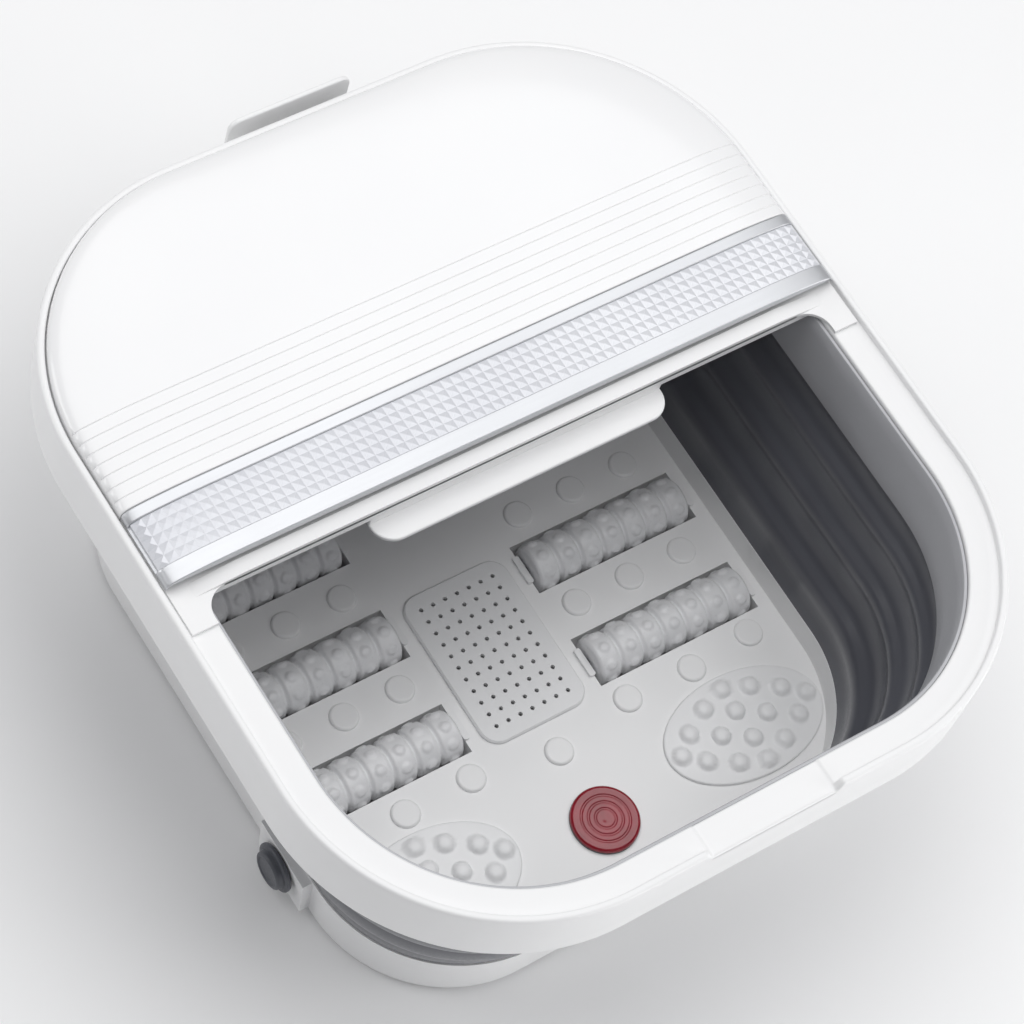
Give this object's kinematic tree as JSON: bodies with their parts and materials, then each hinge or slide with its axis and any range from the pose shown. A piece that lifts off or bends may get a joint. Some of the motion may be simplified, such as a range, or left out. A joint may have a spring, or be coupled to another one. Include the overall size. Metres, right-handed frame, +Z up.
{
  "type": "foot spa basin",
  "caption": "Collapsible foot bath: folding grey wall, white rim and base, massage rollers, bubble plate, heel pads, lamp lens, side drain plug and lift-off half cover.",
  "frame": {"origin": "on the ground under the middle of the object's box", "axes": "+Z up, +Y towards the covered rear, -Y the side the user sits at, -X the drain side"},
  "size_m": [0.3744, 0.419, 0.1912],
  "materials": {
    "white_shell": "gloss",
    "white_cover": "gloss",
    "grey_collar": "satin",
    "grey_bellows": "matte",
    "dark_rubber": "matte",
    "pad_white": "satin",
    "roller_white": "satin",
    "steel": "brushed",
    "zinc_screw": "plain",
    "silver_trim": "polished",
    "clear_gem": "clear",
    "red_lens": "gloss",
    "seal": "matte",
    "board": "satin",
    "pump_black": "satin",
    "heater_steel": "satin",
    "clear_tube": "satin"
  },
  "bodies": {
    "base": {"base_shell": "white_shell", "bottom_plate": "pad_white", "feet": "dark_rubber", "base_screws": "zinc_screw", "roller_axles": "steel", "axle_clips": "pad_white", "bubble_cover": "pad_white", "infrared_lens": "red_lens", "lens_gasket": "seal", "lamp_board": "board", "heel_pad_left": "pad_white", "heel_pad_right": "pad_white", "temp_probe": "steel", "heater": "heater_steel", "heater_clamps": "pump_black", "air_pump": "pump_black", "air_tube": "clear_tube", "control_board": "board", "cord_gland": "pump_black", "bellows": "grey_bellows"},
    "upper_rim": {"rim": "white_shell", "collar_ring": "grey_collar", "carry_lip": "white_shell", "lip_screws": "zinc_screw"},
    "half_cover": {"cover_panel": "white_cover", "band_tray": "silver_trim", "gem_strip": "clear_gem", "cover_frame": "white_cover", "cover_screws": "zinc_screw", "splash_tongue": "white_cover", "tongue_screws": "zinc_screw"},
    "plug": {"drain_plug": "dark_rubber"},
    "left_rear_roller": {"roller_left_rear": "roller_white"},
    "left_mid_roller": {"roller_left_mid": "roller_white"},
    "left_front_roller": {"roller_left_front": "roller_white"},
    "right_rear_roller": {"roller_right_rear": "roller_white"},
    "right_mid_roller": {"roller_right_mid": "roller_white"},
    "right_front_roller": {"roller_right_front": "roller_white"}
  },
  "joints": [
    {"name": "rim_fold", "type": "slide", "parent": "base", "child": "upper_rim", "axis": [0, 0, -1], "range_m": [0, 0.084], "deforming": ["bellows"]},
    {"name": "cover_lift", "type": "slide", "parent": "upper_rim", "child": "half_cover", "axis": [0, 0, 1], "range_m": [0, 0.12]},
    {"name": "plug_pull", "type": "slide", "parent": "base", "child": "plug", "axis": [-1, 0, 0], "range_m": [0, 0.03]},
    {"name": "left_rear_spin", "type": "hinge", "parent": "base", "child": "left_rear_roller", "pos_m": [-0.086, 0.05745, 0.021], "axis": [1, 0, 0], "continuous": true},
    {"name": "left_mid_spin", "type": "hinge", "parent": "base", "child": "left_mid_roller", "pos_m": [-0.086, 0.00045, 0.021], "axis": [1, 0, 0], "continuous": true},
    {"name": "left_front_spin", "type": "hinge", "parent": "base", "child": "left_front_roller", "pos_m": [-0.086, -0.05655, 0.021], "axis": [1, 0, 0], "continuous": true},
    {"name": "right_rear_spin", "type": "hinge", "parent": "base", "child": "right_rear_roller", "pos_m": [0.086, 0.05745, 0.021], "axis": [1, 0, 0], "continuous": true},
    {"name": "right_mid_spin", "type": "hinge", "parent": "base", "child": "right_mid_roller", "pos_m": [0.086, 0.00045, 0.021], "axis": [1, 0, 0], "continuous": true},
    {"name": "right_front_spin", "type": "hinge", "parent": "base", "child": "right_front_roller", "pos_m": [0.086, -0.05655, 0.021], "axis": [1, 0, 0], "continuous": true}
  ]
}
